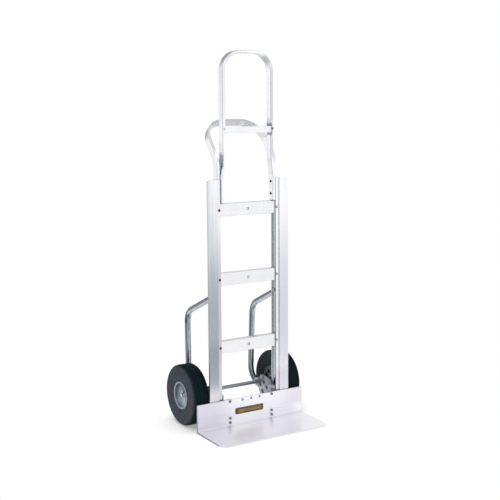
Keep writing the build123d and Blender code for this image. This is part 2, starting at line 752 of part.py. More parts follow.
# Tyres
with BuildPart() as right_tyre:
    half_width = wheel_width / 2
    bead_half = hub_half_width - hub_lip_thickness
    shoulder_start = axle_z - tyre_shoulder_radius
    shoulder_mid = tyre_shoulder_radius * (1 - sin(radians(45)))
    with BuildSketch(hub_plane) as tyre_section:
        with BuildLine():
            Line((bead_half, hub_barrel_radius), (bead_half, hub_lip_radius + tyre_bead_step))
            TangentArc(
                (half_width, tyre_bulge_radius),
                (bead_half, hub_lip_radius + tyre_bead_step),
                tangent=(0, -1),
            )
            Line((half_width, tyre_bulge_radius), (half_width, shoulder_start))
            ThreePointArc(
                (half_width, shoulder_start),
                (half_width - shoulder_mid, axle_z - shoulder_mid),
                (half_width - tyre_shoulder_radius, axle_z),
            )
            Line((half_width - tyre_shoulder_radius, axle_z), (0, axle_z))
            Line((0, axle_z), (0, hub_barrel_radius))
            Line((0, hub_barrel_radius), (bead_half, hub_barrel_radius))
        make_face()
        with Locations((tyre_groove_inner, axle_z), (tyre_groove_outer, axle_z)):
            Rectangle(tyre_groove_width, 2 * tyre_groove_depth, mode=Mode.SUBTRACT)
        mirror(about=Plane.YZ)
    revolve(axis=Axis((wheel_centre_x, axle_y, axle_z), (1, 0, 0)))
right_tyre.part.label = "right_tyre"
export_step(right_tyre.part, "parts/right_tyre.step")

with BuildPart() as left_tyre:
    mirror(right_tyre.part, about=Plane.YZ)
left_tyre.part.label = "left_tyre"
export_step(left_tyre.part, "parts/left_tyre.step")

# Wheel bearings
with BuildPart() as right_bearings:
    bearing_starts = (wheel_centre_x - hub_half_width, wheel_centre_x + boss_seat)
    for start_x in bearing_starts:
        with BuildSketch(side_plane(start_x)):
            with Locations((axle_y, axle_z)):
                Circle(bearing_outer_radius)
                Circle(axle_radius + running_clearance, mode=Mode.SUBTRACT)
        extrude(amount=bearing_width)
right_bearings.part.label = "right_bearings"
export_step(right_bearings.part, "parts/right_bearings.step")

with BuildPart() as left_bearings:
    mirror(right_bearings.part, about=Plane.YZ)
left_bearings.part.label = "left_bearings"
export_step(left_bearings.part, "parts/left_bearings.step")

# Spacers between bracket and wheel
with BuildPart() as right_axle_spacer:
    spacer_end_x = wheel_centre_x - hub_half_width - side_gap
    with BuildSketch(side_plane(bracket_boss_end_x)):
        with Locations((axle_y, axle_z)):
            Circle(spacer_radius)
            Circle(axle_radius + seat_clearance, mode=Mode.SUBTRACT)
    extrude(amount=spacer_end_x - bracket_boss_end_x)
right_axle_spacer.part.label = "right_axle_spacer"
export_step(right_axle_spacer.part, "parts/right_axle_spacer.step")

with BuildPart() as left_axle_spacer:
    mirror(right_axle_spacer.part, about=Plane.YZ)
left_axle_spacer.part.label = "left_axle_spacer"
export_step(left_axle_spacer.part, "parts/left_axle_spacer.step")

# Washers on the axle ends
with BuildPart() as axle_washers:
    for start_x in (washer_x, -washer_x - washer_thickness):
        with BuildSketch(side_plane(start_x)):
            with Locations((axle_y, axle_z)):
                Circle(washer_radius)
                Circle(axle_radius + seat_clearance, mode=Mode.SUBTRACT)
        extrude(amount=washer_thickness)
axle_washers.part.label = "axle_washers"
export_step(axle_washers.part, "parts/axle_washers.step")

# Cotter pins through the axle ends
with BuildPart() as cotter_pins:
    pin_bottom_z = axle_z - axle_radius - cotter_tail
    eye_z = axle_z + axle_radius + cotter_eye_radius + cotter_diameter / 2 + hole_clearance
    with BuildSketch(Plane.XY.offset(pin_bottom_z)):
        with Locations((-cotter_x, axle_y), (cotter_x, axle_y)):
            Circle(cotter_diameter / 2)
    extrude(amount=eye_z - cotter_eye_radius - pin_bottom_z)
    for pin_x in (-cotter_x, cotter_x):
        with Locations(Plane(origin=(pin_x, axle_y, eye_z), z_dir=(1, 0, 0))):
            Torus(cotter_eye_radius, cotter_diameter / 2)
cotter_pins.part.label = "cotter_pins"
export_step(cotter_pins.part, "parts/cotter_pins.step")


def dome_bolt(head_diameter, head_height, shank_diameter, shank_length):
    """Round-headed bolt seated on the origin, head along Z and shank below."""
    head_radius = head_diameter / 2
    with BuildPart() as bolt:
        with BuildSketch(Plane.XZ):
            with BuildLine():
                Polyline((0, head_height), (0, 0), (head_radius, 0), (head_radius, head_edge))
                TangentArc((0, head_height), (head_radius, head_edge), tangent=(1, 0))
            make_face()
        revolve(axis=Axis.Z)
        with BuildSketch():
            Circle(shank_diameter / 2)
        extrude(amount=-shank_length)
    return bolt.part


def hex_bolt(flats, head_height, shank_diameter, shank_length):
    """Hexagon-headed bolt seated on the origin, head along Z and shank below."""
    with BuildPart() as bolt:
        with BuildSketch():
            RegularPolygon(flats / 2, 6, major_radius=False, rotation=hexagon_turn)
        extrude(amount=head_height)
        chamfer(bolt.faces().sort_by(Axis.Z)[-1].edges(), head_edge)
        with BuildSketch():
            Circle(shank_diameter / 2)
        extrude(amount=-shank_length)
    return bolt.part


def hex_nut(flats, height, shank_diameter):
    """Hexagon nut seated on the origin and standing along Z."""
    with BuildPart() as nut:
        with BuildSketch():
            RegularPolygon(flats / 2, 6, major_radius=False, rotation=hexagon_turn)
            Circle(shank_diameter / 2 + seat_clearance, mode=Mode.SUBTRACT)
        extrude(amount=height)
    return nut.part


frame_nut = hex_nut(frame_nut_flats, frame_nut_height, frame_bolt_diameter)
frame_bolt_tail = frame_nut_height + thread_past_nut

# Bolts and nuts that hold the cross braces to the rail strips
brace_bolt_length = rail_flange_thickness + brace_thickness + brace_nut_height + thread_past_nut
brace_bolt = dome_bolt(brace_bolt_head, brace_bolt_head_height, brace_bolt_diameter, brace_bolt_length)
brace_nut = hex_nut(brace_nut_flats, brace_nut_height, brace_bolt_diameter)

with BuildPart() as brace_bolts:
    for bolt_z in brace_heights:
        with Locations(
            facing_front(-brace_bolt_x, strip_front_y, bolt_z),
            facing_front(brace_bolt_x, strip_front_y, bolt_z),
        ):
            add(brace_bolt)
brace_bolts.part.label = "brace_bolts"
export_step(brace_bolts.part, "parts/brace_bolts.step")

with BuildPart() as brace_nuts:
    for bolt_z in brace_heights:
        with Locations(
            facing_back(-brace_bolt_x, brace_face_y, bolt_z),
            facing_back(brace_bolt_x, brace_face_y, bolt_z),
        ):
            add(brace_nut)
brace_nuts.part.label = "brace_nuts"
export_step(brace_nuts.part, "parts/brace_nuts.step")

# Bolts and nuts through both handles and the rail webs
handle_bolt_length = 2 * handle_tube_width + rail_web_thickness + frame_bolt_tail
handle_bolt = dome_bolt(handle_bolt_head, handle_bolt_head_height, frame_bolt_diameter, handle_bolt_length)

with BuildPart() as handle_bolts:
    for bolt_z in handle_bolt_heights:
        with Locations(
            facing_side(loop_leg_inner_x, handle_bolt_y, bolt_z, -1),
            facing_side(-loop_leg_inner_x, handle_bolt_y, bolt_z, 1),
        ):
            add(handle_bolt)
handle_bolts.part.label = "handle_bolts"
export_step(handle_bolts.part, "parts/handle_bolts.step")

with BuildPart() as handle_nuts:
    for bolt_z in handle_bolt_heights:
        with Locations(
            facing_side(rail_web_outer_x, handle_bolt_y, bolt_z, 1),
            facing_side(-rail_web_outer_x, handle_bolt_y, bolt_z, -1),
        ):
            add(frame_nut)
handle_nuts.part.label = "handle_nuts"
export_step(handle_nuts.part, "parts/handle_nuts.step")

# Screws that hold the handle brace
handle_screw_length = handle_brace_thickness + handle_tube_wall + thread_past_nut
handle_screw = dome_bolt(
    handle_screw_head,
    handle_screw_head_height,
    handle_screw_diameter,
    handle_screw_length,
)

with BuildPart() as handle_brace_screws:
    with Locations(
        facing_front(-loop_upper_x, front_y - handle_brace_thickness, handle_screw_z),
        facing_front(loop_upper_x, front_y - handle_brace_thickness, handle_screw_z),
    ):
        add(handle_screw)
handle_brace_screws.part.label = "handle_brace_screws"
export_step(handle_brace_screws.part, "parts/handle_brace_screws.step")

# Bolts and nuts through the nose and the bracket flanges
nose_bolt_length = nose_leg_thickness + bracket_flange_thickness + nose_nut_height + thread_past_nut
nose_bolt = hex_bolt(nose_bolt_head, nose_bolt_head_height, nose_bolt_diameter, nose_bolt_length)
nose_nut = hex_nut(nose_nut_flats, nose_nut_height, nose_bolt_diameter)

with BuildPart() as nose_bolts:
    for bolt_z in nose_bolt_heights:
        with Locations(
            facing_front(-nose_bolt_x, leg_front_y, bolt_z),
            facing_front(nose_bolt_x, leg_front_y, bolt_z),
        ):
            add(nose_bolt)
nose_bolts.part.label = "nose_bolts"
export_step(nose_bolts.part, "parts/nose_bolts.step")

with BuildPart() as nose_nuts:
    flange_back_y = front_y + bracket_flange_thickness
    for bolt_z in nose_bolt_heights:
        with Locations(
            facing_back(-nose_bolt_x, flange_back_y, bolt_z),
            facing_back(nose_bolt_x, flange_back_y, bolt_z),
        ):
            add(nose_nut)
nose_nuts.part.label = "nose_nuts"
export_step(nose_nuts.part, "parts/nose_nuts.step")

# Bolts and nuts that hold the brackets to the rail webs
bracket_bolt_length = rail_web_outer_x - bracket_web_x + frame_bolt_tail
bracket_bolt = hex_bolt(frame_bolt_head, frame_bolt_head_height, frame_bolt_diameter, bracket_bolt_length)

with BuildPart() as bracket_bolts:
    for bolt_z in bracket_bolt_heights:
        with Locations(
            facing_side(bracket_web_x, bracket_bolt_y, bolt_z, -1),
            facing_side(-bracket_web_x, bracket_bolt_y, bolt_z, 1),
        ):
            add(bracket_bolt)
bracket_bolts.part.label = "bracket_bolts"
export_step(bracket_bolts.part, "parts/bracket_bolts.step")

with BuildPart() as bracket_nuts:
    for bolt_z in bracket_bolt_heights:
        with Locations(
            facing_side(rail_web_outer_x, bracket_bolt_y, bolt_z, 1),
            facing_side(-rail_web_outer_x, bracket_bolt_y, bolt_z, -1),
        ):
            add(frame_nut)
bracket_nuts.part.label = "bracket_nuts"
export_step(bracket_nuts.part, "parts/bracket_nuts.step")

# Bolts and nuts that hold the guard tube ends to the rail webs
guard_bolt_length = guard_seat_x - rail_web_inner_x + frame_bolt_tail
guard_bolt = hex_bolt(frame_bolt_head, frame_bolt_head_height, frame_bolt_diameter, guard_bolt_length)

with BuildPart() as guard_tube_bolts:
    for bolt_z in guard_bolt_heights:
        with Locations(
            facing_side(guard_seat_x, guard_bolt_y, bolt_z, 1),
            facing_side(-guard_seat_x, guard_bolt_y, bolt_z, -1),
        ):
            add(guard_bolt)
guard_tube_bolts.part.label = "guard_tube_bolts"
export_step(guard_tube_bolts.part, "parts/guard_tube_bolts.step")

with BuildPart() as guard_tube_nuts:
    for bolt_z in guard_bolt_heights:
        with Locations(
            facing_side(rail_web_inner_x, guard_bolt_y, bolt_z, -1),
            facing_side(-rail_web_inner_x, guard_bolt_y, bolt_z, 1),
        ):
            add(frame_nut)
guard_tube_nuts.part.label = "guard_tube_nuts"
export_step(guard_tube_nuts.part, "parts/guard_tube_nuts.step")
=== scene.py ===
"""Looks of an aluminium hand truck: finishes for its pieces, ribbed tyres, a name plate panel, a pale studio.

Sizes are millimetres unless a comment says otherwise; meshes and the studio are in metres.
"""

import json
import logging
import math
from dataclasses import dataclass, replace
from enum import Enum
from typing import Any, Iterable, Sequence

import bmesh
import bpy
from mathutils import Matrix, Vector


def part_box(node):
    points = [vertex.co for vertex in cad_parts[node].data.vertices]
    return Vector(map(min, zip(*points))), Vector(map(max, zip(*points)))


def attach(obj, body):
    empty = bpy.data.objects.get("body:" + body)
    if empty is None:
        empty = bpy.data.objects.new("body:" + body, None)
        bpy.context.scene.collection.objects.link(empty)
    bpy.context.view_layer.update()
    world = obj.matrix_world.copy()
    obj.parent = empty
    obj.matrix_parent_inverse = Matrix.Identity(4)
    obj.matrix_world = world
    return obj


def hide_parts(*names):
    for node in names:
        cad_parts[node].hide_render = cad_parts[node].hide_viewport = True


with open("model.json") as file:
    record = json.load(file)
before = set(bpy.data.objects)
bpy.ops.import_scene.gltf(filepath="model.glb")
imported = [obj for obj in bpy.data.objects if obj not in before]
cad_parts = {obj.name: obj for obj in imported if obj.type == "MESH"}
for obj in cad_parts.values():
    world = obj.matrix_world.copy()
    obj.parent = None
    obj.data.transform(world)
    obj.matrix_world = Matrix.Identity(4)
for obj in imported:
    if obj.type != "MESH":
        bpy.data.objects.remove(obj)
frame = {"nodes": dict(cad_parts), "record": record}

LOG = logging.getLogger("hand_truck")
MM = 0.001

Point = tuple[float, float]
Triple = tuple[float, float, float]
Share = bpy.types.NodeSocket
Settings = dict[str | int, Any]
Links = dict[str | int, Share]
Coat = tuple[str, Sequence[Share]]

ORIGIN: Triple = (0.0, 0.0, 0.0)
SIDEWAYS: Triple = (1.0, 0.0, 0.0)
REARWARD: Triple = (0.0, 1.0, 0.0)
UPWARD: Triple = (0.0, 0.0, 1.0)
# Axes that count towards a distance from the axle, from a hole's middle line and from the middle of the floor
FROM_AXLE: Triple = (0.0, 1.0, 1.0)
FROM_HOLE: Triple = (1.0, 0.0, 1.0)
FROM_MIDDLE: Triple = (1.0, 1.0, 0.0)
# A plane this far out lies clear of the truck, so a distance from it grows from one side to the other
CLEAR = 300.0

# The Mix node's sockets go by number, because their names repeat for each kind of value
MIX_SHARE, MIX_FROM, MIX_TO, MIX_RESULT = 0, 2, 3, 0
MIX_FROM_COLOUR, MIX_TO_COLOUR, MIX_RESULT_COLOUR = 6, 7, 2

# Noise levels at which marks start and are full, for soft marks and for marks gathered into patches
SOFT: Point = (0.3, 0.7)
PATCHY: Point = (0.35, 0.65)
NOISE_ROUGHNESS = 0.6
# Rays sent out to find a corner, which gets painted shade, or an edge, the levels from none of it to all of
# it, and its fullest share
SEARCH_RAYS = 6
OPEN_TO_DEEP: Point = (0.85, 0.3)
CORNER_SHARE = 0.6
FLAT_TO_EDGE: Point = (0.98, 0.85)
EDGE_SHARE = 0.45
RELIEF_STRENGTH = 0.6
# Faces that meet at more than this angle keep a sharp edge
SHARP_ANGLE = math.radians(35)


class Side(Enum):
    """Side of the truck as seen from the front."""

    LEFT = "left"
    RIGHT = "right"


class Grain(Enum):
    """Axis along which a metal was rolled or extruded."""

    ACROSS = (True, False, False)
    UPRIGHT = (False, False, True)

    def stretch(self, width: float, length: float) -> Triple:
        """Gives a mark's size on each axis.

        Args:
            width: size across the grain.
            length: size along the grain.

        Returns:
            The three sizes, the long one along the grain.
        """
        across, along, upright = (length if grown else width for grown in self.value)
        return across, along, upright


class Reach(Enum):
    """Distances that limit a film: the axis that counts, and a point on the plane they start from."""

    ACROSS = (SIDEWAYS, ORIGIN)
    BACK = (REARWARD, (0.0, -CLEAR, 0.0))
    LEFTWARD = (SIDEWAYS, (CLEAR, 0.0, 0.0))
    RIGHTWARD = (SIDEWAYS, (-CLEAR, 0.0, 0.0))


@dataclass(frozen=True)
class Tone:
    """Tone laid on part of a piece, by reach and by height above the floor; most tones are painted light and
    shade.

    By its reach it is absent at the first distance of the span and full at the second. By height it is
    full within core of the middle, and gone a further fade away.
    """

    colour: str
    reach: Reach
    span: Point
    middle: float
    core: float
    fade: float
    strength: float


def linear(code: str) -> tuple[float, float, float, float]:
    """Turns an sRGB colour into the linear values that shaders take.

    Args:
        code: six hexadecimal digits after a hash sign.

    Returns:
        Linear red, green and blue with full opacity.
    """
    channels = [int(code[start : start + 2], 16) / 255 for start in (1, 3, 5)]
    red, green, blue = (c / 12.92 if c <= 0.04045 else ((c + 0.055) / 1.055) ** 2.4 for c in channels)
    return red, green, blue, 1.0


def add_node(
    tree: bpy.types.NodeTree,
    kind: str,
    settings: Settings | None = None,
    links: Links | None = None,
) -> bpy.types.Node:
    """Adds one node with its settings and incoming links.

    Args:
        tree: node tree that takes the node.
        kind: Blender's name for the node type.
        settings: values by socket name, socket number or property name.
        links: sockets to plug in, by input name or number.

    Returns:
        The new node.
    """
    node = tree.nodes.new(kind)
    for name, value in (settings or {}).items():
        if isinstance(name, int) or name in node.inputs:
            node.inputs[name].default_value = value
        else:
            setattr(node, name, value)
    for name, socket in (links or {}).items():
        tree.links.new(socket, node.inputs[name])
    return node


class Surface:
    """A material in the making: one shader, with patterns laid out in the truck's own millimetres."""

    def __init__(self, name: str, values: Settings) -> None:
        """Starts a material.

        Args:
            name: name of the material.
            values: shader values that are the same all over the surface.
        """
        self.material = bpy.data.materials.new(name)
        self.material.use_nodes = True
        self.tree = self.material.node_tree
        self.tree.nodes.clear()
        self.shader = add_node(self.tree, "ShaderNodeBsdfPrincipled", values)
        add_node(self.tree, "ShaderNodeOutputMaterial", links={"Surface": self.shader.outputs["BSDF"]})
        self.place = add_node(self.tree, "ShaderNodeTexCoord").outputs["Object"]

    def marks(self, size: Triple, span: Point, detail: float = 3.0) -> Share:
        """Spreads irregular marks over the surface.

        Args:
            size: size of one mark on each axis.
            span: noise levels at which a mark starts and is full.
            detail: octaves of finer marks inside each mark.

        Returns:
            Share from 0 between the marks to 1 on them.
        """
        scale = [1 / (MM * length) for length in size]
        spread = add_node(self.tree, "ShaderNodeMapping", {"Scale": scale}, {"Vector": self.place})
        values: Settings = {"Scale": 1.0, "Detail": detail, "Roughness": NOISE_ROUGHNESS}
        noise = add_node(self.tree, "ShaderNodeTexNoise", values, {"Vector": spread.outputs["Vector"]})
        values = {"From Min": span[0], "From Max": span[1]}
        marked = add_node(self.tree, "ShaderNodeMapRange", values, {"Value": noise.outputs["Fac"]})
        return marked.outputs["Result"]

    def zone(self, axes: Triple, middle: Triple, start: float, full: float, strength: float = 1.0) -> Share:
        """Finds where the surface lies by its distance from a point, line or plane.

        Args:
            axes: axes that count towards the distance, 1 or 0 each.
            middle: the point that it is measured from.
            start: distance at which the share is 0.
            full: distance at which the share is full, also below start.
            strength: the full share.

        Returns:
            Share that changes smoothly from start to full.
        """
        values: Settings = {"operation": "SUBTRACT", 1: [MM * value for value in middle]}
        offset = add_node(self.tree, "ShaderNodeVectorMath", values, {0: self.place})
        values = {"operation": "MULTIPLY", 1: axes}
        counted = add_node(self.tree, "ShaderNodeVectorMath", values, {0: offset.outputs["Vector"]})
        values = {"operation": "LENGTH"}
        distance = add_node(self.tree, "ShaderNodeVectorMath", values, {0: counted.outputs["Vector"]})
        values = {"interpolation_type": "SMOOTHSTEP", "From Min": MM * start, "From Max": MM * full}
        values["To Max"] = strength
        inside = add_node(self.tree, "ShaderNodeMapRange", values, {"Value": distance.outputs["Value"]})
        return inside.outputs["Result"]

    def film(self, film: Tone) -> Coat:
        """Finds where a tone lies.

        Args:
            tone: the tone.

        Returns:
            Its colour, with its shares by height and by reach.
        """
        gone = film.core + film.fade
        height = self.zone(UPWARD, (0.0, 0.0, film.middle), gone, film.core, film.strength)
        return film.colour, [height, self.zone(*film.reach.value, *film.span)]

    def corners(self, reach: float) -> Share:
        """Finds inner corners, for painted shade where neighbours shelter the surface.

        Args:
            reach: distance within which a neighbour shelters the surface.

        Returns:
            Share from 0 in the open to the corner share deep in a corner.
        """
        values: Settings = {"Distance": MM * reach, "samples": SEARCH_RAYS}
        shelter = add_node(self.tree, "ShaderNodeAmbientOcclusion", values)
        values = {"From Min": OPEN_TO_DEEP[0], "From Max": OPEN_TO_DEEP[1], "To Max": CORNER_SHARE}
        deep = add_node(self.tree, "ShaderNodeMapRange", values, {"Value": shelter.outputs["AO"]})
        return deep.outputs["Result"]

    def edges(self, width: float) -> tuple[Share, Share]:
        """Finds outer edges, which handling rounds and rubs bright; a darker edge colour paints shade on them
        instead.

        Args:
            width: radius of the rounding.

        Returns:
            Share from 0 on the faces to the edge share on an edge, and the rounded normal.
        """
        values: Settings = {"Radius": MM * width, "samples": SEARCH_RAYS}
        rounded = add_node(self.tree, "ShaderNodeBevel", values).outputs["Normal"]
        flat = add_node(self.tree, "ShaderNodeNewGeometry").outputs["Normal"]
        values = {"operation": "DOT_PRODUCT"}
        lean = add_node(self.tree, "ShaderNodeVectorMath", values, {0: rounded, 1: flat})
        values = {"From Min": FLAT_TO_EDGE[0], "From Max": FLAT_TO_EDGE[1], "To Max": EDGE_SHARE}
        on_edge = add_node(self.tree, "ShaderNodeMapRange", values, {"Value": lean.outputs["Value"]})
        return on_edge.outputs["Result"], rounded

    def facing(self, way: Triple, span: Point) -> Share:
        """Finds the sides that face one way, for painted shade on them.

        Args:
            way: direction of length 1.
            span: part of the normal along it at which the share starts and is full.

        Returns:
            Share from 0 to 1.
        """
        normal = add_node(self.tree, "ShaderNodeTexCoord").outputs["Normal"]
        values: Settings = {"operation": "DOT_PRODUCT", 1: way}
        turned = add_node(self.tree, "ShaderNodeVectorMath", values, {0: normal})
        values = {"From Min": span[0], "From Max": span[1]}
        settled = add_node(self.tree, "ShaderNodeMapRange", values, {"Value": turned.outputs["Value"]})
        return settled.outputs["Result"]

    def colour(self, ground: str, coats: Sequence[Coat]) -> None:
        """Lays colours over one another.

        Args:
            ground: sRGB colour of the clean surface.
            coats: colours to lay over it in turn, each where all of its shares hold.
        """
        laid: Share | None = None
        for code, (cover, *limits) in coats:
            for limit in limits:
                values: Settings = {"operation": "MULTIPLY"}
                cover = add_node(self.tree, "ShaderNodeMath", values, {0: cover, 1: limit}).outputs["Value"]
            values = {"data_type": "RGBA", MIX_FROM_COLOUR: linear(ground), MIX_TO_COLOUR: linear(code)}
            links: Links = {MIX_SHARE: cover}
            if laid is not None:
                links[MIX_FROM_COLOUR] = laid
            laid = add_node(self.tree, "ShaderNodeMix", values, links).outputs[MIX_RESULT_COLOUR]
        self.tree.links.new(laid, self.shader.inputs["Base Color"])

    def relief(self, share: Share, roughness: Point, depth: float, normal: Share | None = None) -> None:
        """Lets one pattern set the gloss and stand up as fine relief.

        Args:
            share: the pattern.
            roughness: roughness where the pattern is 0 and where it is 1.
            depth: height of the relief.
            normal: rounded normal that the relief stands on.
        """
        values: Settings = {"To Min": roughness[0], "To Max": roughness[1]}
        gloss = add_node(self.tree, "ShaderNodeMapRange", values, {"Value": share})
        self.tree.links.new(gloss.outputs["Result"], self.shader.inputs["Roughness"])
        values = {"Strength": RELIEF_STRENGTH, "Distance": MM * depth}
        links: Links = {"Height": share}
        if normal is not None:
            links["Normal"] = normal
        bump = add_node(self.tree, "ShaderNodeBump", values, links)
        self.tree.links.new(bump.outputs["Normal"], self.shader.inputs["Normal"])


@dataclass(frozen=True)
class WorkedAluminium:
    """Mill-finish aluminium, rolled or extruded and left unpolished.

    The die or roll leaves long faint lines one way and handling leaves a cloudy grey film, so the metal
    looks bright and satin with soft streaks. Real die lines are under 1 mm; they are drawn several
    millimetres wide so that they show.
    """

    name: str
    bright: str
    dull: str
    grain: Grain
    streak: Point
    cloud: float
    roughness: Point
    depth: float
    tones: tuple[Tone, ...] = ()
    # Painted shade on the sides that face up
    dust: str = ""
    dust_span: Point = (0.5, 0.9)
    metallic: float = 1.0
    # Painted shade in inner corners
    corner_shade: str = "#9298a4"
    corner_shade_reach: float = 14.0
    edge: str = "#f7f8fa"
    edge_width: float = 1.0
    # Painted shade round open holes
    hole_shade: str = "#85858f"
    hole_shade_reach: Point = (7.0, 4.5)
    streak_detail: float = 4.0

    def material(self, holes: Sequence[Vector] = ()) -> bpy.types.Material:
        """Makes the material.

        Args:
            holes: middles of open holes from front to back, ringed with painted shade, in metres.

        Returns:
            The material.
        """
        surface = Surface(self.name, {"Metallic": self.metallic})
        lines = surface.marks(self.grain.stretch(*self.streak), SOFT, self.streak_detail)
        clouds = surface.marks((self.cloud,) * 3, SOFT)
        on_edge, rounded = surface.edges(self.edge_width)
        coats: list[Coat] = [(self.dull, [lines, clouds])]
        coats += [surface.film(film) for film in self.tones]
        # Painted shade on the sides that face up
        if self.dust:
            coats.append((self.dust, [surface.facing(UPWARD, self.dust_span)]))
        # Painted shade in inner corners, then the edge colour along the edges
        coats += [(self.corner_shade, [surface.corners(self.corner_shade_reach)]), (self.edge, [on_edge])]
        # Painted shade round each open hole
        for hole in holes:
            middle = hole.x / MM, hole.y / MM, hole.z / MM
            coats.append((self.hole_shade, [surface.zone(FROM_HOLE, middle, *self.hole_shade_reach)]))
        surface.colour(self.bright, coats)
        surface.relief(lines, self.roughness, self.depth, rounded)
        return surface.material


@dataclass(frozen=True)
class PlainMetal:
    """Metal without a direction: drawn tube, castings, plated and ground steel.

    A fine grain breaks up the reflections, dull patches drift over it, and painted shade darkens the corners.
    Real grain is well under 1 mm; it is drawn at 0.8 to 4 mm so that it shows.
    """

    name: str
    bright: str
    dull: str
    grain: float
    patch: float
    roughness: Point
    depth: float
    metallic: float = 1.0
    # Painted shade in inner corners
    corner_shade: str = "#4c5058"
    corner_shade_reach: float = 12.0
    edge: str = "#e6e8ec"
    edge_width: float = 0.8
    tones: tuple[Tone, ...] = ()
    # Painted shade on the sides that face one way
    side_shade: str = ""
    side_shade_way: Triple = (0.0, 0.5, 0.87)
    side_shade_span: Point = (-0.35, 0.0)
    grain_detail: float = 2.0

    def material(self) -> bpy.types.Material:
        """Makes the material.

        Returns:
            The material.
        """
        surface = Surface(self.name, {"Metallic": self.metallic})
        grit = surface.marks((self.grain,) * 3, SOFT, self.grain_detail)
        patches = surface.marks((self.patch,) * 3, PATCHY)
        on_edge, rounded = surface.edges(self.edge_width)
        # The dull patches, then painted shade in inner corners
        coats: list[Coat] = [(self.dull, [patches]), (self.corner_shade, [surface.corners(self.corner_shade_reach)])]
        # Edge wear where the edge colour is lighter, painted shade where it is darker
        coats.append((self.edge, [on_edge]))
        # Painted shade on the sides that face one way
        if self.side_shade:
            coats.append((self.side_shade, [surface.facing(self.side_shade_way, self.side_shade_span)]))
        coats += [surface.film(film) for film in self.tones]
        surface.colour(self.bright, coats)
        surface.relief(grit, self.roughness, self.depth, rounded)
        return surface.material


@dataclass(frozen=True)
class TyreRubber:
    """Carbon-black rubber out of a mould.

    It is matt, nearly black on the tread, and greyer where bloom dulls the wall.
    """

    name: str
    tread: str
    wall: str
    dust: str
    # Painted shade on the inner walls
    shade: str
    dust_size: float
    skin_size: float
    skin_depth: float
    roughness: Point
    shade_width: float = 30.0
    specular: float = 0.12
    dust_span: Point = (0.35, 0.7)
    dust_detail: float = 4.0
    skin_detail: float = 2.0

    def material(self, hub: Vector, wall_end: float, tread_start: float) -> bpy.types.Material:
        """Makes the material.

        Args:
            hub: middle of a wheel, in metres.
            wall_end: radius up to which the side wall's bloom is full.
            tread_start: radius from which the tread is bare.

        Returns:
            The material, which fits both wheels: their inner walls, away from light, get painted shade.
        """
        surface = Surface(self.name, {"Specular IOR Level": self.specular})
        middle = hub.x / MM, hub.y / MM, hub.z / MM
        tread = surface.zone(FROM_AXLE, middle, wall_end, tread_start)
        # Painted shade on the inner walls, which face away from the light
        inner = surface.zone(SIDEWAYS, ORIGIN, abs(middle[0]), abs(middle[0]) - self.shade_width)
        dust = surface.marks((self.dust_size,) * 3, self.dust_span, self.dust_detail)
        skin_grain = surface.marks((self.skin_size,) * 3, SOFT, self.skin_detail)
        surface.colour(self.wall, [(self.dust, [dust]), (self.shade, [inner]), (self.tread, [tread])])
        surface.relief(skin_grain, self.roughness, self.skin_depth)
        return surface.material


# Rolled plate: faint lines across the nose, a warm lilac white that greys to both sides, and painted shade on
# the sheared ends
NOSE_PLATE = WorkedAluminium(
    name="rolled aluminium plate",
    bright="#f9f8fd",
    dull="#edebf3",
    grain=Grain.ACROSS,
    streak=(7.0, 170.0),
    cloud=120.0,
    roughness=(0.3, 0.42),
    depth=0.03,
    metallic=0.75,
    tones=(
        Tone("#c9c7d6", Reach.LEFTWARD, (350.0, 480.0), middle=75.0, core=55.0, fade=20.0, strength=0.55),
        Tone("#d2cedb", Reach.RIGHTWARD, (400.0, 520.0), middle=100.0, core=35.0, fade=45.0, strength=0.6),
        Tone("#77757f", Reach.ACROSS, (253.6, 254.6), middle=60.0, core=100.0, fade=20.0, strength=0.85),
    ),
)
# Extruded rails: long streaks up and down, and painted lilac shade on the load face at mid height and at the
# foot; behind the face, painted shade that is dark on the strip's edges, grey on the web and pale on the rear
# flange
RIGHT_RAIL = WorkedAluminium(
    name="extruded aluminium right rail",
    bright="#fafbfd",
    dull="#edeff5",
    grain=Grain.UPRIGHT,
    streak=(7.0, 420.0),
    cloud=200.0,
    roughness=(0.2, 0.32),
    depth=0.03,
    tones=(
        Tone("#bdc1d2", Reach.ACROSS, (147.0, 149.0), middle=480.0, core=90.0, fade=420.0, strength=0.45),
        Tone("#c4bfca", Reach.ACROSS, (120.0, 125.0), middle=110.0, core=70.0, fade=60.0, strength=0.55),
        Tone("#6e7679", Reach.ACROSS, (133.4, 132.4), middle=400.0, core=900.0, fade=50.0, strength=0.8),
        Tone("#60686b", Reach.BACK, (280.8, 281.8), middle=400.0, core=900.0, fade=50.0, strength=0.9),
        Tone("#b7bfc1", Reach.BACK, (284.6, 285.6), middle=400.0, core=900.0, fade=50.0, strength=1.0),
        Tone("#d8dde0", Reach.BACK, (313.0, 315.0), middle=400.0, core=900.0, fade=50.0, strength=1.0),
    ),
)
# The left rail has more painted shade: its load face is bluer and darker, most of all above the wheel, with a
# grey outer edge near the top and a painted pale reflection at the foot, and its strip and web are greyer
LEFT_RAIL = replace(
    RIGHT_RAIL,
    name="extruded aluminium left rail",
    dull="#d6dae6",
    tones=(
        Tone("#8f9aa8", Reach.ACROSS, (147.0, 149.0), middle=360.0, core=130.0, fade=520.0, strength=0.75),
        Tone("#b9bcc6", Reach.ACROSS, (149.0, 147.0), middle=300.0, core=300.0, fade=300.0, strength=0.7),
        Tone("#c6cad6", Reach.LEFTWARD, (470.0, 494.0), middle=940.0, core=120.0, fade=150.0, strength=0.6),
        Tone("#74787d", Reach.ACROSS, (147.0, 149.0), middle=265.0, core=40.0, fade=90.0, strength=0.3),
        Tone("#ece4e9", Reach.ACROSS, (147.0, 149.0), middle=100.0, core=40.0, fade=60.0, strength=0.55),
    ),
)
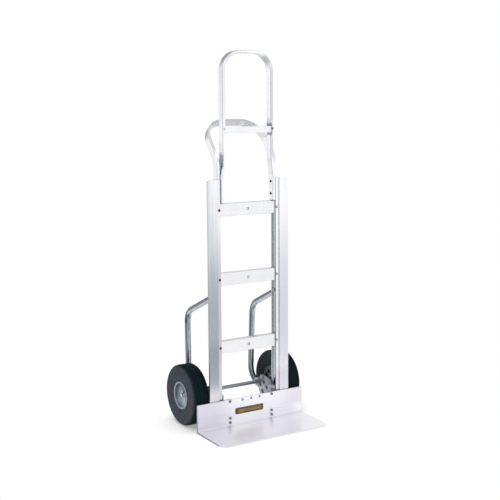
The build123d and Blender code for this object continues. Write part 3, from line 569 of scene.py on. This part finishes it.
# Extruded braces: streaks from rail to rail, painted shade on the upper sides, and painted shade near the
# right end of the handle brace, pale again at its very end
BRACE_EXTRUSION = WorkedAluminium(
    name="extruded aluminium brace",
    bright="#f6f7fa",
    dull="#eaecf1",
    grain=Grain.ACROSS,
    streak=(5.0, 150.0),
    cloud=90.0,
    roughness=(0.3, 0.42),
    depth=0.03,
    dust="#dcdee2",
    tones=(
        Tone("#80848c", Reach.RIGHTWARD, (402.0, 407.0), middle=1220.0, core=20.0, fade=5.0, strength=0.65),
        Tone("#eceef2", Reach.RIGHTWARD, (412.0, 415.0), middle=1220.0, core=20.0, fade=5.0, strength=0.9),
    ),
)
# Bright-drawn flat tube of the rear handle: smooth, with painted shade on the bow and along its edges
HANDLE_TUBE = PlainMetal(
    name="drawn aluminium handle tube",
    bright="#fdfdff",
    dull="#f1f3f7",
    grain=4.0,
    patch=70.0,
    roughness=(0.25, 0.29),
    depth=0.004,
    corner_shade="#cdd1d9",
    edge="#eceef2",
    edge_width=2.5,
    tones=(
        Tone("#bfc3cc", Reach.ACROSS, (115.0, 95.0), middle=1262.0, core=35.0, fade=25.0, strength=0.55),
    ),
)
# The loop is the same tube with painted shade: greyer towards the top on the left and down the outer side of
# the right leg, darker at the right bend, where the left leg turns out, and in the corner at the right end of
# its brace
LOOP_TUBE = replace(
    HANDLE_TUBE,
    name="drawn aluminium handle tube with painted shade",
    tones=(
        Tone("#d3d5dd", Reach.LEFTWARD, (290.0, 380.0), middle=1533.0, core=20.0, fade=330.0, strength=0.55),
        Tone("#c6c9d1", Reach.RIGHTWARD, (406.9, 408.4), middle=1300.0, core=160.0, fade=60.0, strength=0.8),
        Tone("#9ea1a9", Reach.RIGHTWARD, (355.0, 385.0), middle=1500.0, core=6.0, fade=24.0, strength=0.6),
        Tone("#62687a", Reach.LEFTWARD, (415.0, 419.0), middle=1098.0, core=18.0, fade=22.0, strength=0.62),
        Tone("#70747c", Reach.RIGHTWARD, (398.0, 402.0), middle=1220.0, core=19.0, fade=9.0, strength=0.75),
        Tone("#eceef2", Reach.RIGHTWARD, (412.0, 415.0), middle=1220.0, core=30.0, fade=9.0, strength=0.9),
    ),
)
# Drawn round tube of the guards: a dull grey skin, with painted shade on the upper and back sides and on the
# outside of the upper bend
GUARD_TUBE = PlainMetal(
    name="drawn aluminium guard tube",
    bright="#c3c7ce",
    dull="#b2b7bf",
    grain=4.0,
    patch=45.0,
    roughness=(0.26, 0.34),
    depth=0.006,
    corner_shade="#565b64",
    side_shade="#7c8189",
    tones=(
        Tone("#585d65", Reach.ACROSS, (167.0, 171.0), middle=425.0, core=12.0, fade=14.0, strength=0.9),
    ),
)
# Sand-cast brackets: grey grainy skin
BRACKET_CASTING = PlainMetal(
    name="sand-cast aluminium bracket",
    bright="#bec1c6",
    dull="#92969c",
    grain=3.0,
    patch=30.0,
    roughness=(0.4, 0.6),
    depth=0.12,
    corner_shade="#3c3e46",
)
# Die-cast hubs: finer skin than sand casting, faintly blue; painted shade at the top of the dish and painted
# light at its bottom, painted shade on the sheltered inner side, and a lip and edges painted darker
HUB_CASTING = PlainMetal(
    name="die-cast aluminium hub",
    bright="#aebac3",
    dull="#97a5b0",
    grain=2.5,
    patch=30.0,
    roughness=(0.34, 0.5),
    depth=0.05,
    corner_shade="#6c767e",
    edge="#93a0aa",
    tones=(
        Tone("#6d767f", Reach.ACROSS, (258.0, 256.0), middle=185.0, core=20.0, fade=45.0, strength=0.9),
        Tone("#c0cad2", Reach.ACROSS, (258.0, 256.0), middle=70.0, core=20.0, fade=32.0, strength=0.9),
        Tone("#4b5553", Reach.ACROSS, (222.0, 196.0), middle=127.0, core=200.0, fade=10.0, strength=1.0),
        Tone("#84919b", Reach.ACROSS, (254.0, 258.0), middle=127.0, core=200.0, fade=10.0, strength=0.8),
    ),
)
# Zinc plating on most fasteners and the spacers: grey with a soft spangle
ZINC_PLATE = PlainMetal(
    name="zinc-plated steel",
    bright="#b2bac2",
    dull="#929ba5",
    grain=1.5,
    patch=9.0,
    roughness=(0.3, 0.45),
    depth=0.02,
    corner_shade="#6c737c",
)
# Axle, what holds the wheels on it, and the guard tubes' bolts: the same plating, painted lighter to lift
# their shade, and darker again on the axle between the hubs
AXLE_STEEL = replace(
    ZINC_PLATE,
    name="wiped zinc-plated steel",
    bright="#ccd2d8",
    dull="#b8bfc7",
    corner_shade="#aab2ba",
    tones=(
        Tone("#959da6", Reach.ACROSS, (200.0, 190.0), middle=127.0, core=50.0, fade=10.0, strength=0.9),
    ),
)
# Brace bolts: zinc, with painted shade on the left rail
BRACE_BOLT = replace(
    ZINC_PLATE,
    name="zinc-plated steel with painted shade on the left rail",
    tones=(
        Tone("#3d3e48", Reach.LEFTWARD, (299.0, 301.0), middle=620.0, core=400.0, fade=50.0, strength=0.9),
    ),
)
# Handle brace screws: the left one bright, the right one with painted shade
BRACE_SCREW = replace(
    ZINC_PLATE,
    name="zinc-plated steel with painted shade on the right",
    bright="#d9dce2",
    dull="#c3c7ce",
    tones=(
        Tone("#3d3e48", Reach.RIGHTWARD, (299.0, 301.0), middle=1200.0, core=200.0, fade=50.0, strength=0.9),
    ),
)
# Blackened handle bolts: nearly black, worn grey on the corners
BLACK_OXIDE = PlainMetal(
    name="black-oxide steel",
    bright="#62636e",
    dull="#44454e",
    grain=1.5,
    patch=6.0,
    roughness=(0.35, 0.55),
    depth=0.02,
    metallic=0.9,
    edge="#8b8d96",
)
# Nose bolts: the same coating, rubbed down to grey steel by loads
RUBBED_OXIDE = replace(BLACK_OXIDE, name="rubbed black-oxide steel", bright="#8d8e98", dull="#6c6d78")
# Ground steel of bearing rings: smooth and bright
GROUND_STEEL = PlainMetal(
    name="ground bearing steel",
    bright="#c4c7cc",
    dull="#9ba0a8",
    grain=0.8,
    patch=8.0,
    roughness=(0.18, 0.3),
    depth=0.005,
)
# Anodised name plate: dark brown dye in the aluminium skin
BRONZE_ANODISED = PlainMetal(
    name="bronze-anodised plate",
    bright="#7b6443",
    dull="#5d4a2e",
    grain=1.2,
    patch=14.0,
    roughness=(0.35, 0.5),
    depth=0.01,
    metallic=0.7,
    edge="#a58d62",
)
# Satin brass panel on it: pale gold, a little tarnished
BRASS_PANEL = PlainMetal(
    name="satin brass panel",
    bright="#9c8860",
    dull="#7d6b46",
    grain=1.2,
    patch=16.0,
    roughness=(0.35, 0.5),
    depth=0.01,
    metallic=0.8,
    edge="#cdbb92",
)
# Tyre rubber: soft patches of dust; the mould's skin is drawn at a few millimetres so that it shows
TYRE_RUBBER = TyreRubber(
    name="moulded tyre rubber",
    tread="#02161a",
    wall="#393d44",
    dust="#484c54",
    shade="#2d3436",
    dust_size=26.0,
    skin_size=2.5,
    skin_depth=0.1,
    roughness=(0.6, 0.8),
)


def lay(material: bpy.types.Material, nodes: Iterable[str]) -> None:
    """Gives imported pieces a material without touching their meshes.

    Args:
        material: finish to lay on.
        nodes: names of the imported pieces.
    """
    for name in nodes:
        piece = frame["nodes"][name]
        if not piece.material_slots:
            piece.data.materials.append(None)
        for slot in piece.material_slots:
            slot.material = material
        LOG.info("%s: %s", name, material.name)


def drilled(names: Sequence[str]) -> list[Vector]:
    """Finds the middles of open holes from the record's mounts.

    Args:
        names: names of the mounts, each one hole or a level pair.

    Returns:
        The middles in metres.
    """
    middles = []
    for mount in frame["record"]["mounts"]:
        if mount["name"] in names:
            half = MM * mount["dims"].get("spacing_x_mm", 0.0) / 2
            middles += [Vector(mount["pos_m"]) + Vector((shift, 0.0, 0.0)) for shift in sorted({-half, half})]
    return middles


def seat(piece: bpy.types.Object, body: str, nodes: Sequence[str] = ()) -> None:
    """Seats a modelled piece on its body and reports it.

    Args:
        piece: the new piece.
        body: body that it rides on.
        nodes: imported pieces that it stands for.
    """
    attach(piece, body)
    if nodes:
        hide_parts(*nodes)
    LOG.info("%s on %s, standing for %s", piece.name, body, ", ".join(nodes) or "nothing")


def skin(
    name: str, rings: Sequence[Sequence[Vector]], material: bpy.types.Material, ring: bool
) -> bpy.types.Object:
    """Joins closed outlines in turn into one closed piece.

    Args:
        name: name of the piece.
        rings: outlines with the same number of points, in metres.
        material: finish of the whole piece.
        ring: joins the last outline to the first; otherwise both ends are capped.

    Returns:
        The new object, smooth over its curves and sharp at its edges.
    """
    mesh = bmesh.new()
    loops = [[mesh.verts.new(point) for point in outline] for outline in rings]
    count = len(loops[0])
    for index, loop in enumerate(loops if ring else loops[:-1]):
        ahead = loops[(index + 1) % len(loops)]
        for corner in range(count):
            after = (corner + 1) % count
            mesh.faces.new((loop[corner], loop[after], ahead[after], ahead[corner]))
    if not ring:
        mesh.faces.new(loops[0])
        mesh.faces.new(loops[-1])
    bmesh.ops.recalc_face_normals(mesh, faces=mesh.faces)
    data = bpy.data.meshes.new(name)
    mesh.to_mesh(data)
    mesh.free()
    data.shade_smooth()
    data.set_sharp_from_angle(angle=SHARP_ANGLE)
    data.materials.append(material)
    piece = bpy.data.objects.new(name, data)
    bpy.context.scene.collection.objects.link(piece)
    return piece


def arc(centre: Point, radius: float, start: float, stop: float, steps: int) -> list[Point]:
    """Walks along part of a circle.

    Args:
        centre: middle of the circle.
        radius: its radius.
        start: first angle in degrees.
        stop: last angle in degrees.
        steps: number of straight steps.

    Returns:
        The points, both ends included.
    """
    turns = [math.radians(start + (stop - start) * step / steps) for step in range(steps + 1)]
    return [(centre[0] + radius * math.cos(t), centre[1] + radius * math.sin(t)) for t in turns]


@dataclass
class Nose:
    """Toe plate with its blank name plate."""

    panel_width: float = 112.0
    panel_height: float = 13.0
    panel_radius: float = 4.0
    panel_rise: float = 0.5
    panel_seat: float = 0.3
    panel_chamfer: float = 0.3
    corner_steps: int = 6

    def dress(self) -> None:
        """Lays the finishes and seats the plain panel."""
        # Painted shade rings the nose plate's open holes
        lay(NOSE_PLATE.material(drilled(["nose_outer_holes", "nose_centre_hole"])), ["nose_plate"])
        lay(BRONZE_ANODISED.material(), ["name_plate"])
        self.panel()

    def outline(self, inset: float) -> list[Point]:
        """Draws the panel's rounded outline.

        Args:
            inset: distance in from the full outline.

        Returns:
            Points of offset across and up from the panel's middle.
        """
        half_x = self.panel_width / 2 - self.panel_radius
        half_z = self.panel_height / 2 - self.panel_radius
        points: list[Point] = []
        for quarter, (side_x, side_z) in enumerate(((1, 1), (-1, 1), (-1, -1), (1, -1))):
            centre = (side_x * half_x, side_z * half_z)
            turn = 90 * quarter
            points += arc(centre, self.panel_radius - inset, turn, turn + 90, self.corner_steps)
        return points

    def panel(self) -> None:
        """Builds the plain raised panel in the middle of the name plate."""
        low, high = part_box("name_plate")
        middle = (low + high) / 2
        levels = [(0.0, -self.panel_seat), (0.0, self.panel_rise - self.panel_chamfer)]
        levels.append((self.panel_chamfer, self.panel_rise))
        rings = []
        for inset, rise in levels:
            front = low.y - MM * rise
            outline = self.outline(inset)
            rings.append([Vector((middle.x + MM * x, front, middle.z + MM * z)) for x, z in outline])
        piece = skin("name_plate_panel", rings, BRASS_PANEL.material(), ring=False)
        seat(piece, "frame")


@dataclass
class Frame:
    """Rails, braces, handles, brackets and guard tubes."""

    brace_heights: tuple[str, ...] = ("lower", "middle", "upper")

    def dress(self) -> None:
        """Lays each finish on the pieces that share it."""
        lay(LEFT_RAIL.material(), ["left_side_rail"])
        lay(RIGHT_RAIL.material(), ["right_side_rail"])
        # Painted shade rings the braces' open holes
        holes = drilled([f"{height}_brace_hole" for height in self.brace_heights])
        braces = [f"{height}_cross_brace" for height in (*self.brace_heights, "handle")]
        lay(BRACE_EXTRUSION.material(holes), braces)
        lay(LOOP_TUBE.material(), ["loop_handle"])
        lay(HANDLE_TUBE.material(), ["rear_handle"])
        lay(GUARD_TUBE.material(), [f"{side.value}_guard_tube" for side in Side])
        lay(BRACKET_CASTING.material(), [f"{side.value}_axle_bracket" for side in Side])


@dataclass
class Fasteners:
    """Bolts, nuts, screws, washers, pins, spacers and the axle."""

    plated: tuple[str, ...] = (
        "left_axle_spacer",
        "right_axle_spacer",
        "handle_nuts",
        "brace_nuts",
        "nose_nuts",
        "bracket_nuts",
        "bracket_bolts",
    )
    lightened: tuple[str, ...] = ("axle", "axle_washers", "cotter_pins", "guard_tube_bolts", "guard_tube_nuts")

    def dress(self) -> None:
        """Lays zinc or black oxide on each fastener."""
        lay(ZINC_PLATE.material(), self.plated)
        lay(AXLE_STEEL.material(), self.lightened)
        lay(BRACE_BOLT.material(), ["brace_bolts"])
        lay(BRACE_SCREW.material(), ["handle_brace_screws"])
        lay(RUBBED_OXIDE.material(), ["nose_bolts"])
        lay(BLACK_OXIDE.material(), ["handle_bolts"])


@dataclass
class Wheels:
    """Tyres, hubs and bearings on both sides."""

    tyre_steps: int = 192
    bead_half: float = 31.5
    bead_radius: float = 53.0
    wall_foot: float = 63.0
    wall_half: float = 39.5
    bulge_radius: float = 92.0
    shoulder_radius: float = 18.0
    shoulder_steps: int = 16
    # Part of the shoulder's height at which the wall's bloom starts to give way to the bare tread
    bloom_share: float = 0.4
    tread_radius: float = 127.0
    groove_places: Point = (22.0, 9.0)
    groove_width: float = 3.5
    groove_depth: float = 3.0
    groove_draft: float = 0.4
    tooth: float = 0.9
    # Radius and rise of each thin ring on the wall, sunk where the rise is below 0
    wall_rings: tuple[Point, ...] = ((67.0, 0.6), (76.0, 0.5), (98.0, -0.5), (103.0, -0.5))
    ring_half: float = 1.3
    wall_step: float = 0.65

    def dress(self) -> None:
        """Builds the ribbed tyres and lays the other finishes."""
        lay(HUB_CASTING.material(), [f"{side.value}_wheel_hub" for side in Side])
        lay(GROUND_STEEL.material(), [f"{side.value}_bearings" for side in Side])
        hub = self.middle(Side.LEFT)
        shoulder = self.tread_radius - self.shoulder_radius
        bloom_end = shoulder + self.bloom_share * self.shoulder_radius
        rubber = TYRE_RUBBER.material(hub, bloom_end, self.tread_radius)
        for side in Side:
            self.tyre(side, rubber)

    def middle(self, side: Side) -> Vector:
        """Finds the middle of a wheel from its packed tyre."""
        low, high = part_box(f"{side.value}_tyre")
        return (low + high) / 2

    def wall(self) -> list[Point]:
        """Draws one side wall from bead to shoulder, with its thin moulded rings.

        Returns:
            Points of offset from the wheel's middle plane and radius.
        """
        shoulder = self.tread_radius - self.shoulder_radius
        points: list[Point] = [(self.bead_half, self.bead_radius)]
        for step in range(math.ceil((shoulder - self.wall_foot) / self.wall_step)):
            reach = self.wall_foot + step * self.wall_step
            share = min(1.0, (reach - self.wall_foot) / (self.bulge_radius - self.wall_foot))
            half = self.bead_half + (self.wall_half - self.bead_half) * math.sin(share * math.pi / 2)
            for place, rise in self.wall_rings:
                near = abs(reach - place) / self.ring_half
                half += rise * (1 + math.cos(math.pi * near)) / 2 if near < 1 else 0.0
            points.append((half, reach))
        centre = (self.wall_half - self.shoulder_radius, shoulder)
        bend = arc(centre, self.shoulder_radius, 0, 90, self.shoulder_steps)
        limit = self.groove_places[0] + self.groove_width
        return points + [point for point in bend if point[0] > limit]

    def tread(self, lean: float) -> list[Point]:
        """Draws half the tread from the shoulder to the middle.

        Args:
            lean: sideways shift of the grooves, which gives them their sawtooth edges.

        Returns:
            Points of offset and radius, with a groove at each groove place.
        """
        points: list[Point] = []
        half = self.groove_width / 2
        floor = self.tread_radius - self.groove_depth
        for place in self.groove_places:
            outer, inner = place + half + lean, place - half + lean
            points += [(outer, self.tread_radius), (outer - self.groove_draft, floor)]
            points += [(inner + self.groove_draft, floor), (inner, self.tread_radius)]
        return points

    def tyre(self, side: Side, rubber: bpy.types.Material) -> None:
        """Builds one tyre as a closed ring with a sawtooth ribbed tread.

        Args:
            side: side of the truck.
            rubber: its material.
        """
        hub = self.middle(side)
        wall = self.wall()
        rings = []
        for step in range(self.tyre_steps):
            turn = 2 * math.pi * step / self.tyre_steps
            spoke = Vector((0.0, math.cos(turn), math.sin(turn)))
            half = wall + self.tread(self.tooth if step % 2 else -self.tooth)
            section = half + [(-x, reach) for x, reach in reversed(half)]
            rings.append([hub + MM * (Vector((x, 0.0, 0.0)) + reach * spoke) for x, reach in section])
        piece = skin(f"{side.value}_ribbed_tyre", rings, rubber, ring=True)
        seat(piece, f"{side.value}_wheel", [f"{side.value}_tyre"])


@dataclass(frozen=True)
class Softbox:
    """One large soft lamp, in metres and watts."""

    name: str
    place: Triple
    target: Triple
    size: float
    power: float
    mirrored: bool = True

    def hang(self) -> None:
        """Hangs the lamp and points it at its target."""
        data = bpy.data.lights.new(self.name, "AREA")
        data.energy = self.power
        data.size = self.size
        lamp = bpy.data.objects.new(self.name, data)
        bpy.context.scene.collection.objects.link(lamp)
        lamp.visible_glossy = self.mirrored
        place = Vector(self.place)
        lamp.location = place
        lamp.rotation_euler = (Vector(self.target) - place).to_track_quat("-Z", "Y").to_euler()


@dataclass(frozen=True)
class Grade:
    """A smooth change of brightness round the studio, by how far a ray goes one way.

    As the ray's part along the way runs through the reach, the brightness runs through the levels.
    """

    way: Triple
    reach: Point
    levels: Point = (0.0, 1.0)

    def brightness(self, tree: bpy.types.NodeTree, ray: Share) -> Share:
        """Adds the grade to the surround.

        Args:
            tree: node tree of the surround.
            ray: direction of a ray that leaves the truck.

        Returns:
            The brightness that the ray meets.
        """
        values: Settings = {"operation": "DOT_PRODUCT", 1: self.way}
        along = add_node(tree, "ShaderNodeVectorMath", values, {0: ray})
        values = {"interpolation_type": "SMOOTHSTEP", "From Min": self.reach[0], "From Max": self.reach[1]}
        values |= {"To Min": self.levels[0], "To Max": self.levels[1]}
        graded = add_node(tree, "ShaderNodeMapRange", values, {"Value": along.outputs["Value"]})
        return graded.outputs["Result"]


@dataclass
class Surround:
    """White backdrop, with a graded studio round it for light and reflections.

    The reflections darken on the left, most of all below the horizon, far down, overhead, and in an
    upright stripe behind. The horizon leads from the ground up to the walls, and the depth leads down to a
    level of its own. The walls' grades multiply, and so do the stripe's.
    """

    horizon: Grade = Grade(UPWARD, (-0.26, -0.08))
    ground: Grade = Grade((1.0, 0.3, 0.0), (-0.95, -0.66), (0.1, 0.82))
    depth: Grade = Grade(UPWARD, (-0.6, -0.8))
    depth_level: float = 0.44
    walls: tuple[Grade, ...] = (
        Grade(SIDEWAYS, (-0.5, 0.6), (1.04, 1.08)),
        Grade(SIDEWAYS, (-0.88, -0.62), (0.3, 1.0)),
        Grade(UPWARD, (0.2, 0.6), (1.0, 0.66)),
    )
    stripe: tuple[Grade, ...] = (
        Grade(SIDEWAYS, (-0.45, -0.2)),
        Grade(SIDEWAYS, (0.48, 0.3)),
        Grade(REARWARD, (0.1, 0.6)),
        Grade(UPWARD, (-0.4, -0.15)),
    )
    stripe_level: float = 0.4
    backdrop_level: float = 1.0
    colour: str = "#ffffff"

    def hang(self) -> None:
        """Makes the surround the scene's world."""
        world = bpy.data.worlds.new("studio surround")
        bpy.context.scene.world = world
        world.use_nodes = True
        tree = world.node_tree
        tree.nodes.clear()
        ray = add_node(tree, "ShaderNodeTexCoord").outputs["Generated"]
        ground = self.ground.brightness(tree, ray)
        links: Links = {MIX_SHARE: self.depth.brightness(tree, ray), MIX_FROM: ground}
        below = add_node(tree, "ShaderNodeMix", {MIX_TO: self.depth_level}, links).outputs[MIX_RESULT]
        products = []
        for grades in (self.walls, self.stripe):
            product, *factors = [grade.brightness(tree, ray) for grade in grades]
            for factor in factors:
                links = {0: product, 1: factor}
                product = add_node(tree, "ShaderNodeMath", {"operation": "MULTIPLY"}, links).outputs["Value"]
            products.append(product)
        walls, stripe = products
        links = {MIX_SHARE: self.horizon.brightness(tree, ray), MIX_FROM: below, MIX_TO: walls}
        around = add_node(tree, "ShaderNodeMix", links=links).outputs[MIX_RESULT]
        links = {MIX_SHARE: stripe, MIX_FROM: around}
        studio = add_node(tree, "ShaderNodeMix", {MIX_TO: self.stripe_level}, links).outputs[MIX_RESULT]
        links = {MIX_SHARE: add_node(tree, "ShaderNodeLightPath").outputs["Is Camera Ray"], MIX_FROM: studio}
        glow = add_node(tree, "ShaderNodeMix", {MIX_TO: self.backdrop_level}, links).outputs[MIX_RESULT]
        values: Settings = {"Color": linear(self.colour)}
        light = add_node(tree, "ShaderNodeBackground", values, {"Strength": glow})
        add_node(tree, "ShaderNodeOutputWorld", links={"Surface": light.outputs["Background"]})


@dataclass
class Studio:
    """Pale floor, white surround, soft lamps and the camera.

    Lengths here are metres, except the lens and the sensor in millimetres; angles are degrees.
    """

    floor_radius: float = 1.3
    floor_solid: float = 0.5
    floor_steps: int = 96
    floor_colour: str = "#d5d5d5"
    floor_roughness: float = 0.9
    floor_glow_colour: str = "#ffffff"
    floor_glow: float = 0.3
    lens: float = 67.64
    sensor: float = 36.0
    camera_place: Triple = (-1.9963, -3.2560, 1.2772)
    camera_reach: float = 100.0
    yaw: float = 31.75
    pitch: float = 8.17
    roll: float = -0.35
    lamps: tuple[Softbox, ...] = (
        Softbox("key softbox", place=(-2.4, -2.2, 3.2), target=(0.0, 0.0, 0.5), size=2.4, power=40.0),
        Softbox(
            "overhead softbox", place=(0.0, 0.3, 3.6), target=ORIGIN, size=3.0, power=80.0, mirrored=False
        ),
    )

    def build(self) -> None:
        """Builds the whole studio."""
        bpy.context.scene.view_settings.view_transform = "Standard"
        self.floor()
        Surround().hang()
        for lamp in self.lamps:
            lamp.hang()
        self.camera()

    def floor(self) -> None:
        """Lays a plain pale round sheet, faintly lit from below, that fades into the white backdrop."""
        values: Settings = {"Base Color": linear(self.floor_colour), "Roughness": self.floor_roughness}
        values |= {"Emission Color": linear(self.floor_glow_colour), "Emission Strength": self.floor_glow}
        surface = Surface("opal sheet lit from below", values)
        fade = surface.zone(FROM_MIDDLE, ORIGIN, self.floor_radius / MM, self.floor_solid / MM)
        surface.tree.links.new(fade, surface.shader.inputs["Alpha"])
        mesh = bmesh.new()
        bmesh.ops.create_circle(mesh, cap_ends=True, radius=self.floor_radius, segments=self.floor_steps)
        data = bpy.data.meshes.new("studio_floor")
        mesh.to_mesh(data)
        mesh.free()
        data.materials.append(surface.material)
        floor = bpy.data.objects.new("studio_floor", data)
        bpy.context.scene.collection.objects.link(floor)

    def camera(self) -> None:
        """Sets the camera at the photograph's viewing angle."""
        yaw, pitch, roll = (math.radians(angle) for angle in (self.yaw, self.pitch, self.roll))
        ahead = Vector((math.sin(yaw) * math.cos(pitch), math.cos(yaw) * math.cos(pitch), -math.sin(pitch)))
        level = Vector((math.cos(yaw), -math.sin(yaw), 0))
        upright = level.cross(ahead)
        right = math.cos(roll) * level + math.sin(roll) * upright
        up = right.cross(ahead)
        data = bpy.data.cameras.new("camera")
        data.lens = self.lens
        data.sensor_width = self.sensor
        data.clip_end = self.camera_reach
        camera = bpy.data.objects.new("camera", data)
        turn = Matrix((right, up, -ahead)).transposed().to_4x4()
        camera.matrix_world = Matrix.Translation(self.camera_place) @ turn
        bpy.context.scene.collection.objects.link(camera)
        bpy.context.scene.camera = camera


def main() -> None:
    """Builds the sub-assemblies in order."""
    logging.basicConfig(level=logging.INFO, format="%(message)s")
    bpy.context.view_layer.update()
    for assembly in (Nose(), Frame(), Fasteners(), Wheels()):
        assembly.dress()
    Studio().build()


if __name__ == "__main__":
    main()
